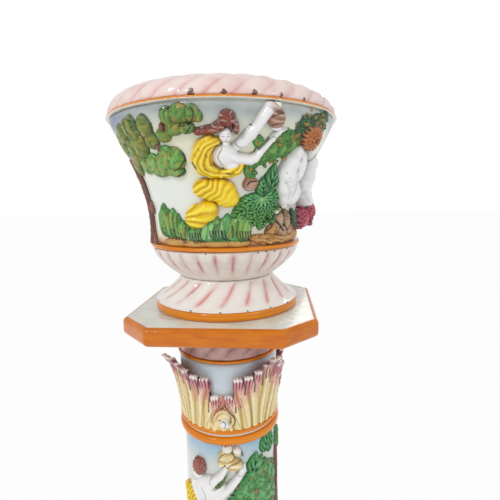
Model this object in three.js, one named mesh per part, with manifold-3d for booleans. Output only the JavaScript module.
// Glazed earthenware jardiniere on its pedestal stand, in millimetres, +Z up.
// The origin is the centre of the pedestal's base and -Y is the front.
// Angles on the turned walls are degrees from the front, growing towards +X.

import * as THREE from 'three';
import { mergeVertices } from 'three/addons/utils/BufferGeometryUtils.js';
import Module from 'manifold-3d';

const wasm = await Module();
wasm.setup();

// ---------------------------------------------------------------- driving dimensions

const GAP = 0.3; // clearance round every applied piece
const WALL = 9; // thickness of the cast walls
const FLOOR = 12; // thickness of the floors that the tie bolt clamps

// Slabs: chamfered squares that carry the pot and the column
const PLATE_HALF = 173;
const PLATE_CHAMFER = 60;
const PLATE_THICK = 33;
const PLATE_ROUND = 9;
const PLATE_SKIN = 8;
const PLINTH_HALF = 173;
const PLINTH_HEIGHT = 38;
const GROUND_WIDTH = 11; // flat edge that the plinth stands on

// Column, from the plinth up
const FLARE_BAND_HEIGHT = 15;
const FLARE_BAND_RADIUS = 144;
const FLARE_HEIGHT = 74;
const BASE_RING_HEIGHT = 16;
const SHAFT_HEIGHT = 305;
const SHAFT_RADIUS = 94;
const NECK_PROUD = 3; // how far the neck stands out past the shaft
const NECK_HEIGHT = 5.6;
const RING_PROUD = 5; // how far the rings stand out past the neck
const RING_EDGE = 2.5; // how much the rings are rounded
const LOWER_RING_HEIGHT = 16.5;
const UPPER_RING_HEIGHT = 9.2;
const CAPITAL_HEIGHT = 131.5;
const CAPITAL_SPREAD = 3; // how much wider the drum is at its head
const COLLAR_RING_HEIGHT = 5;
const COLLAR_PROUD = 3; // how far the collar stands out past the drum
const COLLAR_SWELL = 3;
const COLLAR_HEIGHT = 53.2;
const COLLAR_LOBES = 18;

// Pot, from the plate up
const FOOT_BAND_HEIGHT = 15.5;
const FOOT_BAND_RADIUS = 140.5;
const FOOT_HEIGHT = 44.5;
const WAIST_RADIUS = 92;
const FOOT_LOBES = 18;
const CUP_HEIGHT = 60;
const CUP_LOBES = 28;
const BELLY_RADIUS = 143;
const BELLY_BAND_HEIGHT = 7;
const BELLY_BAND_PROUD = 2; // how far the band stands out past the cup
const BELL_HEIGHT = 216;
const BELL_FOOT_INSET = 4.5; // how far the bell starts inside the cup's edge
const BELL_LIP_RADIUS = 207.5;
const LIP_SWELL = 0.85;
const RIM_LINE_HEIGHT = 4.5;
const RIM_LINE_PROUD = 3.5; // how far the line stands out past the bell's lip
const ROLL_HEIGHT = 38;
const ROLL_PROUD = 2; // how far the roll stands out past the bell's lip
const ROLL_CREST_INSET = 41.5; // from the roll's outer edge to its crest
const ROLL_INNER_INSET = 58.5; // from the roll's outer edge to its inner edge
const ROLL_SHOULDER = 4;
const ROLL_TUCK = 12;
const ROLL_LOBES = 32;
const ROLL_LOBE_DEPTH = 5;
const LOBE_DEPTH = 4;

// Tie bolt that clamps the cup to the foot
const BOLT_RADIUS = 5;
const BOLT_HOLE_RADIUS = 6;
const BOLT_HEAD_ACROSS = 17;
const BOLT_HEAD_HEIGHT = 6.4;
const BOLT_END = 3;
const NUT_HEIGHT = 8;
const STEEL_WASHER_RADIUS = 15;
const RUBBER_WASHER_RADIUS = 18;
const WASHER_THICK = 2;

// Acanthus leaves of the capital; places across a leaf run from 0 at its middle to 1 at its side
const LEAF_HALF_ANGLE = 42;
const LEAF_RISE = 15.5; // how far the curled tips rise past the drum's head
const LEAF_HEIGHT = CAPITAL_HEIGHT + LEAF_RISE;
const LEAF_SIDE_HEIGHT = 66;
const LEAF_LOBES = [
  { from: 0.8, to: 1, top: LEAF_HEIGHT - 73 },
  { from: 0.37, to: 0.81, top: LEAF_HEIGHT - 36 },
  { from: 0.17, to: 0.39, top: LEAF_HEIGHT - 25 },
  { from: 0.1, to: 0.21, top: LEAF_HEIGHT - 12 },
  { from: 0, to: 0.14, top: LEAF_HEIGHT },
];
const LEAF_LOBE_BOW = 5;
const LEAF_FOOT = 3.2;
const LEAF_SWEEP = 24;
const LEAF_SIDE_FALL = 1.12;
const LEAF_CURL = 14;
const LEAF_CURL_START = 0.78;
const LEAF_TIP_WIDTH = 0.36;
const LEAF_THICK = 6;
const LEAF_RIBS = 4;
const LEAF_RIB_DEPTH = 1.1;
const LEAF_ROWS = 7;
const LEAF_STEP = 0.02; // least distance between two columns of the leaf's points

// Relief
const RELIEF_UNIT_LENGTH = 1; // one unit of the relief's sizes, in millimetres

// ---------------------------------------------------------------- levels, worked out

const SEAT = {};
SEAT.plinthTop = PLINTH_HEIGHT;
SEAT.flareBandTop = SEAT.plinthTop + FLARE_BAND_HEIGHT;
SEAT.flareTop = SEAT.flareBandTop + FLARE_HEIGHT;
SEAT.baseRingTop = SEAT.flareTop + BASE_RING_HEIGHT;
SEAT.shaftTop = SEAT.baseRingTop + SHAFT_HEIGHT;
SEAT.lowerRingTop = SEAT.shaftTop + LOWER_RING_HEIGHT;
SEAT.neckTop = SEAT.lowerRingTop + NECK_HEIGHT;
SEAT.upperRingTop = SEAT.neckTop + UPPER_RING_HEIGHT;
SEAT.capitalTop = SEAT.upperRingTop + CAPITAL_HEIGHT;
SEAT.collarRingTop = SEAT.capitalTop + COLLAR_RING_HEIGHT;
SEAT.collarTop = SEAT.collarRingTop + COLLAR_HEIGHT;
SEAT.plateTop = SEAT.collarTop + PLATE_THICK;
SEAT.footBandTop = SEAT.plateTop + FOOT_BAND_HEIGHT;
SEAT.footTop = SEAT.footBandTop + FOOT_HEIGHT;
SEAT.cupTop = SEAT.footTop + CUP_HEIGHT;
SEAT.bellyBandTop = SEAT.cupTop + BELLY_BAND_HEIGHT;
SEAT.bellTop = SEAT.bellyBandTop + BELL_HEIGHT;
SEAT.rimLineTop = SEAT.bellTop + RIM_LINE_HEIGHT;

const RADIUS = {};
RADIUS.bore = SHAFT_RADIUS - WALL;
RADIUS.neck = SHAFT_RADIUS + NECK_PROUD;
RADIUS.ring = RADIUS.neck + RING_PROUD;
RADIUS.capitalHead = RADIUS.neck + CAPITAL_SPREAD;
RADIUS.collar = RADIUS.capitalHead + COLLAR_PROUD;
RADIUS.flareBore = FLARE_BAND_RADIUS - 2 * WALL;
RADIUS.footBore = FOOT_BAND_RADIUS - 1.5 * WALL;
RADIUS.bellyBand = BELLY_RADIUS + BELLY_BAND_PROUD;
RADIUS.bellFoot = BELLY_RADIUS - BELL_FOOT_INSET;
RADIUS.rimLine = BELL_LIP_RADIUS + RIM_LINE_PROUD;
RADIUS.rollOuter = BELL_LIP_RADIUS + ROLL_PROUD;
RADIUS.rollCrest = RADIUS.rollOuter - ROLL_CREST_INSET;
RADIUS.rollInner = RADIUS.rollOuter - ROLL_INNER_INSET;

const CORNER_INSET = 2 - Math.SQRT2; // how much a chamfer shortens per unit of inset
const DEG = Math.PI / 180;
const TURN = Math.PI * 2;

// ---------------------------------------------------------------- finishes

const glaze = (color, roughness = 0.16) =>
  new THREE.MeshStandardMaterial({ color, roughness, metalness: 0 });

const FINISH = {
  cream: glaze(0xe9e6da),
  sky: glaze(0xd3dad2),
  pink: glaze(0xe6c8c4),
  orange: glaze(0xcf7208),
  acanthus: glaze(0xd8a8a0),
  foliage: glaze(0x4f8a4c),
  olive: glaze(0x64793a),
  bark: glaze(0x6f4030),
  yellow: glaze(0xe6c62e),
  white: glaze(0xe8e8e6),
  auburn: glaze(0x5e2a24),
  clay: glaze(0xa9714f),
  rock: glaze(0x9a7440),
  ochre: glaze(0xc0781e),
  grape: glaze(0xa8324c),
  steel: new THREE.MeshStandardMaterial({ color: 0x9a9c9e, roughness: 0.4, metalness: 1 }),
  rubber: new THREE.MeshStandardMaterial({ color: 0x1c1c1c, roughness: 0.85, metalness: 0 }),
};

// ---------------------------------------------------------------- solids

/** Turns a closed three.js geometry into a solid for joining and cutting. */
function toSolid(geometry) {
  const plain = geometry.clone();
  plain.deleteAttribute('normal');
  plain.deleteAttribute('uv');
  const merged = mergeVertices(plain, 1e-4);
  const mesh = new wasm.Mesh({
    numProp: 3,
    vertProperties: new Float32Array(merged.attributes.position.array),
    triVerts: new Uint32Array(merged.index.array),
  });
  return new wasm.Manifold(mesh);
}

/** Turns a solid back into a geometry. */
function toGeometry(solid) {
  const mesh = solid.getMesh();
  const geometry = new THREE.BufferGeometry();
  geometry.setAttribute('position', new THREE.BufferAttribute(mesh.vertProperties, 3));
  geometry.setIndex(new THREE.BufferAttribute(mesh.triVerts, 1));
  geometry.computeVertexNormals();
  return geometry;
}

/** Joins a list of solids. */
const joined = (solids) => solids.reduce((whole, solid) => whole.add(solid));

/** Keeps the largest connected piece of a solid, which drops slivers left by a cut. */
function largest(solid) {
  const pieces = solid.decompose();
  pieces.sort((a, b) => b.volume() - a.volume());
  return pieces[0];
}

/**
 * Turns a closed outline round the Z axis.
 * outline: points { r, z, flute, twist }, going up the outside and down the inside.
 * flute (0 to 1) says how deep the grooves are there, and twist turns them, in degrees.
 */
function turned(outline, { lobes = 0, depth = LOBE_DEPTH, perLobe = 4, sides = 48 } = {}) {
  const steps = lobes > 0 ? lobes * perLobe : sides;
  const rows = outline.length;
  const positions = [];
  for (let i = 0; i < rows; i += 1) {
    const { r, z, flute = 0, twist = 0 } = outline[i];
    const before = outline[(i + rows - 1) % rows];
    const after = outline[(i + 1) % rows];
    const along = new THREE.Vector2(after.r - before.r, after.z - before.z).normalize();
    for (let j = 0; j < steps; j += 1) {
      const groove = 1 - Math.abs(Math.sin((Math.PI * (j % perLobe)) / perLobe));
      const inward = lobes > 0 ? depth * flute * groove : 0;
      const angle = (TURN * j) / steps + twist * DEG;
      const radius = r - inward * along.y;
      positions.push(radius * Math.sin(angle), -radius * Math.cos(angle), z + inward * along.x);
    }
  }
  const index = [];
  for (let i = 0; i < rows; i += 1) {
    const next = (i + 1) % rows;
    for (let j = 0; j < steps; j += 1) {
      const side = (j + 1) % steps;
      const a = i * steps + j;
      const b = i * steps + side;
      const c = next * steps + side;
      const d = next * steps + j;
      index.push(a, b, c, a, c, d);
    }
  }
  const geometry = new THREE.BufferGeometry();
  geometry.setAttribute('position', new THREE.Float32BufferAttribute(positions, 3));
  geometry.setIndex(index);
  geometry.computeVertexNormals();
  return geometry;
}

/** Samples a curve f(t) for t from 0 to 1 in n steps. */
const sampled = (n, f) => Array.from({ length: n + 1 }, (_, i) => f(i / n));

/** A plain ring course with a slightly rounded outer face. */
function course({ inner, outer, bottom, height, round = 1.2, sides = 32 }) {
  return turned([
    { r: outer - round, z: bottom },
    { r: outer, z: bottom + height / 2 },
    { r: outer - round, z: bottom + height },
    { r: inner, z: bottom + height },
    { r: inner, z: bottom },
  ], { sides });
}

/** A chamfered square slab with rounded edges, hollow inside and open over the column bore. */
function slab({ half, chamfer, bottom, height, side, skin, bore, openBelow }) {
  const outline = (h, c) => new THREE.Shape([
    [h - c, -h], [h, c - h], [h, h - c], [h - c, h],
    [c - h, h], [-h, h - c], [-h, c - h], [c - h, -h],
  ].map(([x, y]) => new THREE.Vector2(x, y)));
  const edge = outline(half - PLATE_ROUND, chamfer - PLATE_ROUND * CORNER_INSET);
  const outer = new THREE.ExtrudeGeometry(edge, {
    depth: height - 2 * PLATE_ROUND,
    bevelThickness: PLATE_ROUND,
    bevelSize: PLATE_ROUND,
    bevelSegments: 3,
    steps: 1,
  });
  outer.translate(0, 0, bottom + PLATE_ROUND);
  const core = new THREE.ExtrudeGeometry(outline(half - side, chamfer - side * CORNER_INSET), {
    depth: height - (openBelow ? 1 : 2) * skin + (openBelow ? 1 : 0),
    bevelEnabled: false,
    steps: 1,
  });
  core.translate(0, 0, openBelow ? bottom - 1 : bottom + skin);
  const hole = new THREE.CylinderGeometry(bore, bore, height, 24);
  hole.rotateX(Math.PI / 2);
  hole.translate(0, 0, openBelow ? bottom + height : bottom);
  return toGeometry(toSolid(outer).subtract(toSolid(core)).subtract(toSolid(hole)));
}

// ---------------------------------------------------------------- walls that carry relief

/** Outer radius of the pot's bell at a height. */
function bellRadius(z) {
  const t = THREE.MathUtils.clamp((z - SEAT.bellyBandTop) / BELL_HEIGHT, 0, 1);
  const flare = t * t * (1 + LIP_SWELL * t ** 3 * (1 - t));
  return RADIUS.bellFoot + (BELL_LIP_RADIUS - RADIUS.bellFoot) * flare;
}

/** Outer radius of the capital's drum at a height. */
function drumRadius(z) {
  const t = (z - SEAT.upperRingTop) / CAPITAL_HEIGHT;
  return THREE.MathUtils.lerp(RADIUS.neck, RADIUS.capitalHead, t);
}

// A field is a wall with the band of heights that its relief may fill.
const BELL_FIELD = {
  radius: bellRadius, bottom: SEAT.bellyBandTop, height: BELL_HEIGHT, rows: 7, sides: 40,
};
const SHAFT_FIELD = {
  radius: () => SHAFT_RADIUS, bottom: SEAT.baseRingTop, height: SHAFT_HEIGHT, rows: 1, sides: 36,
};

/** The solid that relief on a field is cut by, a little larger than the wall itself. */
function wallCutter({ radius, bottom, height, rows, sides }) {
  const skin = sampled(rows, (t) => {
    const z = bottom + t * height;
    return { r: radius(z) + GAP, z };
  });
  const core = skin[0].r / 2;
  return toSolid(turned([...skin, { r: core, z: bottom + height }, { r: core, z: bottom }], { sides }));
}

/** The band of heights that relief on a field stays in, clear of the courses above and below. */
function fieldLimits({ radius, bottom, height }) {
  const reach = 2 * radius(bottom + height);
  const limits = new THREE.CylinderGeometry(reach, reach, height - 2 * GAP, 24);
  limits.rotateX(Math.PI / 2);
  limits.translate(0, 0, bottom + height / 2);
  return toSolid(limits);
}

/** A point on a field: [angle from the front, percent of its height, how far it stands out]. */
function spot(field, [angle, percent, out = 0]) {
  const z = field.bottom + (field.height * percent) / 100;
  const r = field.radius(z) + out * RELIEF_UNIT_LENGTH;
  return new THREE.Vector3(r * Math.sin(angle * DEG), -r * Math.cos(angle * DEG), z);
}

/** A lump on the wall: size is [along the wall, up the wall, outwards], tilt turns it in the wall. */
function lump(field, at, size, tilt = 0) {
  return (grow) => {
    const shape = new THREE.OctahedronGeometry(1, 1);
    const [angle, percent, proud = 0] = at;
    const side = new THREE.Vector3(Math.cos(angle * DEG), Math.sin(angle * DEG), 0);
    const up = spot(field, [angle, percent + 1]).sub(spot(field, [angle, percent - 1])).normalize();
    const out = new THREE.Vector3().crossVectors(side, up);
    const frame = new THREE.Matrix4().makeBasis(side, up, out);
    frame.setPosition(spot(field, [angle, percent]).addScaledVector(out, proud * RELIEF_UNIT_LENGTH));
    const [wide, tall, deep] = size.map((half) => half * RELIEF_UNIT_LENGTH + grow);
    shape.scale(wide, tall, deep);
    shape.rotateZ(tilt * DEG);
    shape.applyMatrix4(frame);
    return toSolid(shape);
  };
}

/** A round limb along the wall from one point to another. */
function limb(field, from, to, radius) {
  return (grow) => {
    const a = spot(field, from);
    const b = spot(field, to);
    const shape = new THREE.CapsuleGeometry(radius * RELIEF_UNIT_LENGTH + grow, a.distanceTo(b), 1, 6);
    const run = new THREE.Vector3().subVectors(b, a).normalize();
    shape.applyQuaternion(new THREE.Quaternion().setFromUnitVectors(new THREE.Vector3(0, 1, 0), run));
    shape.translate(...a.add(b).multiplyScalar(0.5).toArray());
    return toSolid(shape);
  };
}

/**
 * Cuts a list of sprigs to their wall and to each other.
 * Each sprig is { name, finish, forms }; one that comes later gives way to those before it.
 */
function relief(field, sprigs) {
  const wall = wallCutter(field);
  const limits = fieldLimits(field);
  const earlier = [];
  return sprigs.map(({ name, finish, forms }) => {
    let solid = joined(forms.map((form) => form(0))).subtract(wall).intersect(limits);
    for (const other of earlier) {
      solid = solid.subtract(other);
    }
    earlier.push(joined(forms.map((form) => form(GAP))));
    return { name, finish, geometry: toGeometry(largest(solid)) };
  });
}

// ---------------------------------------------------------------- pot

/** The cushion-like rolled rim with its slanting lobes. */
function rimRoll() {
  const outside = sampled(4, (t) => ({
    r: RADIUS.rollCrest + ROLL_CREST_INSET * Math.cos((t * Math.PI) / 2),
    z: SEAT.rimLineTop + ROLL_HEIGHT * Math.sin((t * Math.PI) / 2),
    flute: 1,
    twist: 16 * t,
  }));
  const inside = [
    {
      r: RADIUS.rollInner + ROLL_SHOULDER,
      z: SEAT.rimLineTop + ROLL_HEIGHT * 0.86,
      flute: 0.6,
      twist: 20,
    },
    { r: RADIUS.rollInner, z: SEAT.rimLineTop + ROLL_HEIGHT * 0.55, twist: 20 },
    { r: RADIUS.rollInner + ROLL_TUCK, z: SEAT.rimLineTop + ROLL_HEIGHT * 0.22, twist: 10 },
    { r: BELL_LIP_RADIUS - WALL, z: SEAT.rimLineTop },
  ];
  return turned([...outside, ...inside], { lobes: ROLL_LOBES, perLobe: 2, depth: ROLL_LOBE_DEPTH });
}

/** The bell-shaped wall that carries the scene. */
function bellWall() {
  const { rows, sides } = BELL_FIELD;
  const outside = sampled(rows, (t) => {
    const z = SEAT.bellyBandTop + t * BELL_HEIGHT;
    return { r: bellRadius(z), z };
  });
  const inside = sampled(3, (t) => {
    const z = SEAT.bellTop - t * BELL_HEIGHT;
    return { r: bellRadius(z) - WALL, z };
  });
  return turned([...outside, ...inside], { sides });
}

/** The lobed cup under the bell, with the floor that the bolt passes through. */
function cup() {
  const outside = sampled(4, (t) => ({
    r: WAIST_RADIUS - 2 + (BELLY_RADIUS - WAIST_RADIUS + 2) * Math.sin((Math.PI * t) / 2),
    z: SEAT.footTop + t * CUP_HEIGHT,
    flute: t > 0.95 ? 0.4 : Math.min(1, 2 * t),
  }));
  const inside = [
    { r: BELLY_RADIUS - 2 * WALL, z: SEAT.cupTop },
    { r: WAIST_RADIUS - WALL, z: SEAT.footTop + FLOOR },
    { r: BOLT_HOLE_RADIUS, z: SEAT.footTop + FLOOR },
    { r: BOLT_HOLE_RADIUS, z: SEAT.footTop },
  ];
  return turned([...outside, ...inside], { lobes: CUP_LOBES, perLobe: 2 });
}

/** The flaring foot with spiral flutes, closed at the waist. */
function foot({ bottom, height, waist, rim, lobes, border, bore, deck, sunk }) {
  const skirt = sampled(4, (t) => ({
    r: waist + (rim - 5 - waist) * (1 - t) ** 1.1,
    z: bottom + border + t * (height - border),
    flute: Math.min(1, 4 * t) * (t > 0.99 ? 0.5 : 1),
    twist: 18 * t,
  }));
  const outline = [{ r: rim - 1, z: bottom }, ...skirt];
  if (deck > 0) {
    outline.push({ r: bore, z: bottom + height });
    outline.push({ r: bore, z: bottom + height - deck });
    outline.push({ r: waist - WALL, z: bottom + height - deck });
  } else {
    outline.push({ r: bore, z: bottom + height });
    outline.push({ r: bore, z: bottom + height / 2 });
  }
  outline.push({ r: sunk, z: bottom });
  return turned(outline, { lobes, perLobe: 2 });
}

/** A flat washer. */
const washer = (radius, hole, bottom) => turned([
  { r: radius, z: bottom },
  { r: radius, z: bottom + WASHER_THICK },
  { r: hole, z: bottom + WASHER_THICK },
  { r: hole, z: bottom },
], { sides: 12 });

/** A hexagonal prism, by its size across flats. */
function hexPrism(across, bottom, height) {
  const radius = across / Math.sqrt(3);
  const prism = new THREE.CylinderGeometry(radius, radius, height, 6);
  prism.rotateX(Math.PI / 2);
  prism.translate(0, 0, bottom + height / 2);
  return prism;
}

/** An upright rod on the axis. */
function rod(radius, bottom, top) {
  const geometry = new THREE.CylinderGeometry(radius, radius, top - bottom, 12);
  geometry.rotateX(Math.PI / 2);
  geometry.translate(0, 0, (bottom + top) / 2);
  return geometry;
}

/** The bolt, nut and washers that clamp the cup down on the foot. */
function tieHardware() {
  const cupFloor = SEAT.footTop + FLOOR;
  const footCeiling = SEAT.footTop - FLOOR;
  const headSeat = cupFloor + 2 * WASHER_THICK;
  const nutTop = footCeiling - 2 * WASHER_THICK;
  const nutBottom = nutTop - NUT_HEIGHT;
  const shank = toSolid(rod(BOLT_RADIUS, nutBottom - BOLT_END, headSeat + 1));
  const head = toSolid(hexPrism(BOLT_HEAD_ACROSS, headSeat, BOLT_HEAD_HEIGHT));
  const nut = toSolid(hexPrism(BOLT_HEAD_ACROSS, nutBottom, NUT_HEIGHT));
  const thread = toSolid(rod(BOLT_RADIUS + GAP, nutBottom - 1, nutTop + 1));
  const hole = BOLT_RADIUS + GAP;
  return [
    { name: 'cup_rubber_washer', finish: 'rubber', geometry: washer(RUBBER_WASHER_RADIUS, hole, cupFloor) },
    {
      name: 'cup_steel_washer',
      finish: 'steel',
      geometry: washer(STEEL_WASHER_RADIUS, hole, cupFloor + WASHER_THICK),
    },
    { name: 'tie_bolt', finish: 'steel', geometry: toGeometry(shank.add(head)) },
    {
      name: 'foot_rubber_washer',
      finish: 'rubber',
      geometry: washer(RUBBER_WASHER_RADIUS, hole, footCeiling - WASHER_THICK),
    },
    { name: 'foot_steel_washer', finish: 'steel', geometry: washer(STEEL_WASHER_RADIUS, hole, nutTop) },
    { name: 'tie_nut', finish: 'steel', geometry: toGeometry(nut.subtract(thread)) },
  ];
}

/** The cast sections of the pot, from the rim down. */
function potSections() {
  return [
    { name: 'rim_roll', finish: 'pink', geometry: rimRoll() },
    {
      name: 'rim_line',
      finish: 'orange',
      geometry: course({
        inner: BELL_LIP_RADIUS - WALL,
        outer: RADIUS.rimLine,
        bottom: SEAT.bellTop,
        height: RIM_LINE_HEIGHT,
        sides: 40,
      }),
    },
    { name: 'bell_wall', finish: 'sky', geometry: bellWall() },
    {
      name: 'belly_band',
      finish: 'orange',
      geometry: course({
        inner: RADIUS.bellFoot - WALL,
        outer: RADIUS.bellyBand,
        bottom: SEAT.cupTop,
        height: BELLY_BAND_HEIGHT,
      }),
    },
    { name: 'lobed_cup', finish: 'pink', geometry: cup() },
    {
      name: 'pot_foot',
      finish: 'pink',
      geometry: foot({
        bottom: SEAT.footBandTop,
        height: FOOT_HEIGHT,
        waist: WAIST_RADIUS,
        rim: FOOT_BAND_RADIUS,
        lobes: FOOT_LOBES,
        border: 2.5,
        bore: BOLT_HOLE_RADIUS,
        deck: FLOOR,
        sunk: RADIUS.footBore,
      }),
    },
    {
      name: 'foot_band',
      finish: 'orange',
      geometry: course({
        inner: RADIUS.footBore,
        outer: FOOT_BAND_RADIUS,
        bottom: SEAT.plateTop,
        height: FOOT_BAND_HEIGHT,
      }),
    },
  ];
}

// ---------------------------------------------------------------- relief on the pot

/** A dancing figure in a yellow wrap who lifts a jug, turned round the wall by an angle. */
function dancer(field, turn, prefix) {
  const at = (angle, percent, out) => [angle + turn, percent, out];
  return [
    {
      name: `${prefix}jug`,
      finish: 'clay',
      forms: [
        lump(field, at(30.5, 91, 4), [15, 14, 11]),
        lump(field, at(34, 88, 5), [9, 9, 8]),
      ],
    },
    {
      name: `${prefix}scarf`,
      finish: 'auburn',
      forms: [
        lump(field, at(9.5, 88, 6), [13, 16, 10]),
        lump(field, at(3, 84.5, 5), [24, 9, 8], 6),
      ],
    },
    {
      name: `${prefix}body`,
      finish: 'white',
      forms: [
        lump(field, at(9.5, 79, 7), [8.5, 10, 9]),
        limb(field, at(9.5, 77, 5), at(10, 70, 5), 5),
        lump(field, at(10.5, 67, 3), [22, 20, 14]),
        limb(field, at(14, 66, 7), at(22, 67, 9), 8),
        limb(field, at(22, 67, 9), at(31, 81, 9), 6),
        limb(field, at(14, 72, 5), at(24, 89, 8), 7),
        limb(field, at(24, 89, 8), at(27, 95, 8), 5.5),
      ],
    },
    {
      name: `${prefix}wrap`,
      finish: 'yellow',
      forms: [
        lump(field, at(-1, 67, 2), [19, 31, 13], 6),
        lump(field, at(12.5, 57, 3), [16, 12, 12]),
        lump(field, at(4, 53, 2), [26, 13, 12]),
        lump(field, at(5.5, 42, 3), [30, 25, 16]),
        lump(field, at(-4, 28, 2), [22, 25, 12], 40),
      ],
    },
  ];
}

/** Grass tufts in a row along the foot of the field. */
const tufts = (field, places, size) => places.map(([angle, percent, tilt]) =>
  lump(field, [angle, percent, 0], size, tilt));

/** The scene on the front of the bell. */
function frontScene(field) {
  return [
    ...dancer(field, 0, 'dancer_'),
    {
      name: 'tree_trunk',
      finish: 'bark',
      forms: [
        limb(field, [-60, 4, 1], [-55, 30, 1], 9),
        limb(field, [-55, 30, 1], [-58, 54, 1], 8),
      ],
    },
    {
      name: 'tree_crown_left',
      finish: 'olive',
      forms: [
        lump(field, [-43, 86, 1], [29, 26, 10]),
        lump(field, [-29, 85, 2], [29, 26, 11]),
        lump(field, [-37, 76, 1], [34, 22, 9]),
        lump(field, [-47, 70, 1], [27, 34, 9]),
      ],
    },
    {
      name: 'tree_crown_top',
      finish: 'foliage',
      forms: [
        lump(field, [-12, 90, 2], [22, 19, 12]),
        lump(field, [-6, 91, 2], [18, 17, 11]),
        lump(field, [-14, 83, 1], [20, 13, 9]),
      ],
    },
    {
      name: 'tree_crown_low',
      finish: 'foliage',
      forms: [
        lump(field, [-19, 66, 2], [27, 24, 12]),
        lump(field, [-32, 63, 1], [30, 24, 10]),
      ],
    },
    {
      name: 'grass_bank',
      finish: 'foliage',
      forms: [
        ...tufts(field, [[-37, 21, 4], [-27, 20, -6]], [19, 29, 9]),
        ...tufts(field, [[-13, 13, 20], [-2, 15, 24], [9, 16, 10]], [21, 21, 9]),
        lump(field, [-24, 10, 0], [42, 17, 8]),
        lump(field, [-2, 10, 0], [40, 17, 8]),
      ],
    },
    {
      name: 'leaf_rosette',
      finish: 'foliage',
      forms: [
        lump(field, [25, 24, 2], [30, 34, 13]),
        lump(field, [33, 43, 2], [24, 38, 12], -8),
        lump(field, [38, 25, 1], [20, 20, 10]),
      ],
    },
    {
      name: 'tan_stone',
      finish: 'clay',
      forms: [
        lump(field, [23, 46.5, 1], [9, 11, 8]),
        lump(field, [20, 45, 1], [6, 8, 6]),
      ],
    },
    {
      name: 'seated_head',
      finish: 'ochre',
      forms: [lump(field, [52, 80, 7], [22, 19, 16])],
    },
    {
      name: 'leafy_bough',
      finish: 'foliage',
      forms: [
        lump(field, [35, 72, 0], [26, 20, 9], 30),
        lump(field, [41, 80, 0], [26, 24, 9], 30),
        lump(field, [44, 90, 0], [30, 18, 9]),
        lump(field, [55, 92, 0], [34, 18, 10]),
      ],
    },
    {
      name: 'seated_robe',
      finish: 'white',
      forms: [
        lump(field, [51, 62, 3], [27, 26, 15]),
        lump(field, [64, 66, 4], [28, 24, 16]),
        lump(field, [47, 45, 2], [20, 30, 12]),
        lump(field, [61, 48, 2], [28, 34, 14]),
        lump(field, [77, 44, 3], [28, 34, 16]),
      ],
    },
    {
      name: 'rocks',
      finish: 'rock',
      forms: [
        lump(field, [45, 16, 0], [24, 24, 12]),
        lump(field, [58, 16, 0], [26, 24, 13]),
      ],
    },
    {
      name: 'grapes',
      finish: 'grape',
      forms: [
        lump(field, [80, 25, 19], [22, 22, 21]),
        lump(field, [76, 15, 12], [22, 20, 19]),
        lump(field, [84, 34, 17], [18, 16, 17]),
      ],
    },
  ];
}

/** The simpler scene on the back of the bell. */
function backScene(field) {
  return [
    ...dancer(field, 176, 'back_dancer_'),
    {
      name: 'back_tree',
      finish: 'foliage',
      forms: [
        limb(field, [112, 4, 1], [116, 30, 1], 9),
        limb(field, [116, 30, 1], [113, 66, 1], 8),
        lump(field, [114, 76, 1], [40, 34, 12]),
        lump(field, [130, 80, 1], [44, 34, 12]),
        lump(field, [146, 83, 1], [42, 28, 11]),
      ],
    },
    {
      name: 'back_grass_bank',
      finish: 'foliage',
      forms: [
        ...tufts(field, [[131, 20, 4], [143, 20, -6]], [21, 28, 9]),
        ...tufts(field, [[158, 14, 20], [171, 15, 24]], [23, 21, 9]),
        lump(field, [140, 10, 0], [44, 17, 8]),
        lump(field, [166, 10, 0], [44, 17, 8]),
      ],
    },
    {
      name: 'back_foliage',
      finish: 'foliage',
      forms: [
        lump(field, [209, 28, 2], [38, 42, 12]),
        lump(field, [228, 30, 2], [42, 46, 12]),
        lump(field, [228, 56, 1], [32, 54, 10]),
        lump(field, [233, 78, 1], [40, 38, 11]),
        lump(field, [249, 82, 1], [46, 32, 11]),
      ],
    },
  ];
}

// ---------------------------------------------------------------- pedestal

/** How high the leaf's edge stands over its foot, from its middle (0) to its side (1). */
function leafEdge(across) {
  const steps = LEAF_LOBES.map(({ from, to, top }) => {
    const middle = (from + to) / 2;
    const bow = Math.abs((Math.abs(across) - middle) / (to - middle));
    return bow <= 1 ? top - LEAF_LOBE_BOW * bow ** 4 : 0;
  });
  return Math.max(LEAF_SIDE_HEIGHT, ...steps);
}

/** How far the leaf's face stands out from the drum, and how far its back does. */
function leafSection(across, height) {
  const up = height / LEAF_HEIGHT;
  const sides = 1 - Math.abs(across / LEAF_SIDE_FALL) ** 2.5;
  const tip = THREE.MathUtils.smoothstep(up, LEAF_CURL_START, 1) / (1 + (across / LEAF_TIP_WIDTH) ** 4);
  const sweep = LEAF_FOOT + sides * LEAF_SWEEP * up ** 1.15 + LEAF_CURL * tip;
  const ribs = LEAF_RIB_DEPTH * Math.cos(2 * Math.PI * LEAF_RIBS * across) * (1 - up);
  return { face: sweep + ribs, back: Math.max(2 * GAP, sweep - LEAF_THICK) };
}

/** One large acanthus leaf at a corner of the capital, with ribs, stepped lobes and a curled tip. */
function acanthus(centre) {
  const stops = leafColumns();
  const front = [];
  const back = [];
  for (let i = 0; i <= LEAF_ROWS; i += 1) {
    for (const across of stops) {
      const height = (leafEdge(across) * i) / LEAF_ROWS;
      const z = SEAT.upperRingTop + GAP + height;
      const wall = drumRadius(Math.min(z, SEAT.capitalTop));
      const { face, back: hollow } = leafSection(across, height);
      const angle = (centre + across * LEAF_HALF_ANGLE) * DEG;
      front.push([(wall + face) * Math.sin(angle), -(wall + face) * Math.cos(angle), z]);
      back.push([(wall + hollow) * Math.sin(angle), -(wall + hollow) * Math.cos(angle), z]);
    }
  }
  return sheet(front, back, stops.length);
}

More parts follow.
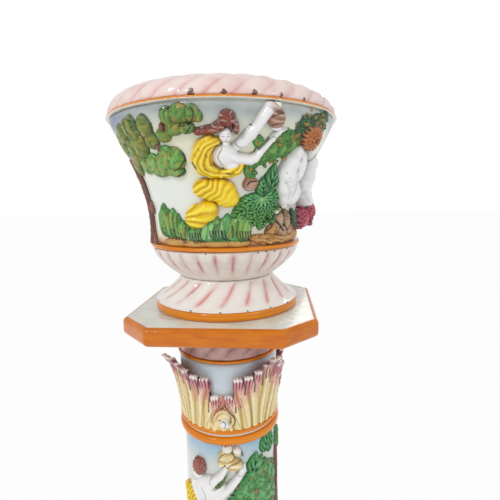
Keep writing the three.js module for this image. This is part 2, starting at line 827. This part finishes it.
/** Places of the leaf's columns: both sides of every step in its edge, and points between. */
function leafColumns() {
  const half = [0];
  for (const { from, to } of [...LEAF_LOBES].reverse()) {
    for (const t of [0.06, 0.35, 0.65, 0.94]) {
      half.push(Math.max(from, half.at(-1) + LEAF_STEP) * (1 - t) + to * t);
    }
  }
  half.push(1);
  const right = half.filter((value, i) => i === 0 || value > half[i - 1] + LEAF_STEP / 2);
  return [...right.slice(1).reverse().map((value) => -value), ...right];
}

/** Closes a grid of front points and a grid of back points into one solid. */
function sheet(front, back, stride) {
  const rows = front.length / stride - 1;
  const count = front.length;
  const index = [];
  const quad = (a, b, c, d) => index.push(a, b, c, a, c, d);
  for (let i = 0; i < rows; i += 1) {
    for (let j = 0; j < stride - 1; j += 1) {
      const a = i * stride + j;
      quad(a, a + 1, a + 1 + stride, a + stride);
      quad(count + a + 1, count + a, count + a + stride, count + a + 1 + stride);
    }
    const left = i * stride;
    const right = left + stride - 1;
    quad(count + left, left, left + stride, count + left + stride);
    quad(right, count + right, count + right + stride, right + stride);
  }
  for (let j = 0; j < stride - 1; j += 1) {
    const top = rows * stride + j;
    quad(count + j, count + j + 1, j + 1, j);
    quad(top, top + 1, count + top + 1, count + top);
  }
  const geometry = new THREE.BufferGeometry();
  geometry.setAttribute('position', new THREE.Float32BufferAttribute([...front, ...back].flat(), 3));
  geometry.setIndex(index);
  geometry.computeVertexNormals();
  return geometry;
}

/** The turned wall of the shaft, with the white neck course under the capital. */
function shaftWall() {
  return turned([
    { r: SHAFT_RADIUS, z: SEAT.baseRingTop },
    { r: SHAFT_RADIUS, z: SEAT.lowerRingTop },
    { r: RADIUS.neck, z: SEAT.lowerRingTop },
    { r: RADIUS.neck, z: SEAT.neckTop },
    { r: RADIUS.bore, z: SEAT.neckTop },
    { r: RADIUS.bore, z: SEAT.baseRingTop },
  ], { sides: SHAFT_FIELD.sides });
}

/** The drum of the capital. */
function capitalDrum() {
  return turned([
    { r: RADIUS.neck, z: SEAT.upperRingTop },
    { r: RADIUS.capitalHead, z: SEAT.capitalTop },
    { r: RADIUS.bore, z: SEAT.capitalTop },
    { r: RADIUS.bore, z: SEAT.upperRingTop },
  ], { sides: 36 });
}

/** The rope-like collar under the plate. */
function collar() {
  const outside = sampled(3, (t) => ({
    r: RADIUS.collar + COLLAR_SWELL * Math.sin(Math.PI * t),
    z: SEAT.collarRingTop + t * COLLAR_HEIGHT,
    flute: 0.3 + 0.7 * Math.sin(Math.PI * t),
    twist: 26 * t,
  }));
  return turned([
    ...outside,
    { r: RADIUS.bore, z: SEAT.collarTop },
    { r: RADIUS.bore, z: SEAT.collarRingTop },
  ], { lobes: COLLAR_LOBES, perLobe: 2 });
}

/** The cast sections of the pedestal, from the plate down. */
function pedestalSections() {
  const ring = (bottom, height, outer) =>
    course({ inner: RADIUS.bore, outer, bottom, height, round: RING_EDGE });
  return [
    {
      name: 'top_plate',
      finish: 'cream',
      geometry: slab({
        half: PLATE_HALF,
        chamfer: PLATE_CHAMFER,
        bottom: SEAT.collarTop,
        height: PLATE_THICK,
        side: PLATE_SKIN,
        skin: PLATE_SKIN,
        bore: RADIUS.bore,
        openBelow: false,
      }),
    },
    { name: 'collar', finish: 'pink', geometry: collar() },
    {
      name: 'collar_ring',
      finish: 'orange',
      geometry: ring(SEAT.capitalTop, COLLAR_RING_HEIGHT, RADIUS.collar),
    },
    { name: 'capital_drum', finish: 'sky', geometry: capitalDrum() },
    { name: 'upper_ring', finish: 'orange', geometry: ring(SEAT.neckTop, UPPER_RING_HEIGHT, RADIUS.ring) },
    {
      name: 'lower_ring',
      finish: 'orange',
      geometry: course({
        inner: SHAFT_RADIUS + GAP,
        outer: RADIUS.ring + 1,
        bottom: SEAT.shaftTop,
        height: LOWER_RING_HEIGHT,
        round: 3,
        sides: SHAFT_FIELD.sides,
      }),
    },
    { name: 'shaft_wall', finish: 'sky', geometry: shaftWall() },
    { name: 'base_ring', finish: 'orange', geometry: ring(SEAT.flareTop, BASE_RING_HEIGHT, RADIUS.ring + 1) },
    {
      name: 'base_flare',
      finish: 'pink',
      geometry: foot({
        bottom: SEAT.flareBandTop,
        height: FLARE_HEIGHT,
        waist: RADIUS.neck,
        rim: FLARE_BAND_RADIUS,
        lobes: COLLAR_LOBES,
        border: 3,
        bore: RADIUS.bore,
        deck: 0,
        sunk: RADIUS.flareBore,
      }),
    },
    {
      name: 'flare_band',
      finish: 'orange',
      geometry: course({
        inner: RADIUS.flareBore,
        outer: FLARE_BAND_RADIUS,
        bottom: SEAT.plinthTop,
        height: FLARE_BAND_HEIGHT,
      }),
    },
    {
      name: 'plinth',
      finish: 'cream',
      geometry: slab({
        half: PLINTH_HALF,
        chamfer: PLATE_CHAMFER,
        bottom: 0,
        height: PLINTH_HEIGHT,
        side: PLATE_ROUND + GROUND_WIDTH,
        skin: PLATE_SKIN,
        bore: RADIUS.flareBore,
        openBelow: true,
      }),
    },
  ];
}

// Clumps of the shaft's foliage: angle, percent of the shaft's height, half width, half height.
const THICKET = [
  [47, 79, 28, 23], [57, 85, 18, 37], [32, 72, 28, 21], [52, 68.5, 30, 28],
  [22, 63, 25, 23], [40, 60.5, 32, 25], [60, 57.5, 28, 32], [16, 53, 28, 28],
  [34, 49.5, 32, 28], [54, 45.5, 34, 32], [22, 40.5, 34, 30], [42, 36.5, 34, 32],
  [60, 32, 30, 34], [18, 27, 34, 34], [38, 23.5, 37, 34], [56, 17.5, 37, 37],
  [24, 12, 41, 39], [44, 8, 41, 34],
];
const THICKET_DEPTH = 9;

/** The figure with a jug and the plants round it on one side of the shaft. */
function shaftScene(field, turn, prefix) {
  const at = (angle, percent, out) => [angle + turn, percent, out];
  return [
    {
      name: `${prefix}jug`,
      finish: 'ochre',
      forms: [
        lump(field, at(6, 89.5, 3), [21, 17, 11]),
        lump(field, at(17, 88, 3), [12, 12, 9]),
      ],
    },
    {
      name: `${prefix}hair`,
      finish: 'auburn',
      forms: [
        lump(field, at(-31, 80, 4), [15, 17, 10]),
        lump(field, at(-42, 74, 2), [12, 14, 8]),
      ],
    },
    {
      name: `${prefix}bearer`,
      finish: 'white',
      forms: [
        lump(field, at(-27, 75, 4), [12, 12, 10]),
        lump(field, at(-19, 66, 2), [28, 26, 13]),
        limb(field, at(-14, 72, 4), at(-3, 77, 6), 8),
        limb(field, at(-3, 77, 6), at(1, 83, 6), 6),
        limb(field, at(-8, 60, 5), at(6, 66, 6), 9),
        limb(field, at(6, 66, 6), at(20, 82, 6), 7),
        lump(field, at(-12, 54, 2), [34, 30, 15]),
      ],
    },
    {
      name: `${prefix}robe`,
      finish: 'yellow',
      forms: [
        lump(field, at(-45, 52, 1), [24, 36, 11]),
        lump(field, at(-24, 32, 1), [38, 54, 15]),
        lump(field, at(-28, 12, 0), [34, 32, 12]),
      ],
    },
    {
      name: `${prefix}thicket`,
      finish: 'foliage',
      forms: THICKET.map(([angle, percent, wide, tall]) => (
        lump(field, at(angle, percent, 0), [wide, tall, THICKET_DEPTH])
      )),
    },
    {
      name: `${prefix}tree`,
      finish: 'bark',
      forms: [
        limb(field, at(84, 4, 0), at(80, 50, 0), 9),
        limb(field, at(80, 50, 0), at(84, 88, 0), 8),
      ],
    },
  ];
}

// ---------------------------------------------------------------- assembly

/** Makes a named mesh from a piece. */
function mesh({ name, finish, geometry }) {
  const piece = new THREE.Mesh(geometry, FINISH[finish]);
  piece.name = name;
  return piece;
}

/** The pot, which lifts off the stand. */
function pot() {
  const group = new THREE.Group();
  const scenes = relief(BELL_FIELD, [...frontScene(BELL_FIELD), ...backScene(BELL_FIELD)]);
  for (const piece of [...potSections(), ...tieHardware(), ...scenes]) {
    group.add(mesh(piece));
  }
  return group;
}

/** The pedestal that carries it. */
function pedestal() {
  const group = new THREE.Group();
  const scenes = relief(SHAFT_FIELD, [
    ...shaftScene(SHAFT_FIELD, 0, 'shaft_'),
    ...shaftScene(SHAFT_FIELD, 180, 'shaft_back_').slice(3),
  ]);
  const corners = ['front_right', 'back_right', 'back_left', 'front_left'];
  const leaves = corners.map((corner, i) => ({
    name: `acanthus_${corner}`,
    finish: 'acanthus',
    geometry: acanthus(45 + 90 * i),
  }));
  for (const piece of [...pedestalSections(), ...leaves, ...scenes]) {
    group.add(mesh(piece));
  }
  return group;
}

const jardiniereOnStand = new THREE.Group();
jardiniereOnStand.add(pedestal(), pot());

export default jardiniereOnStand;
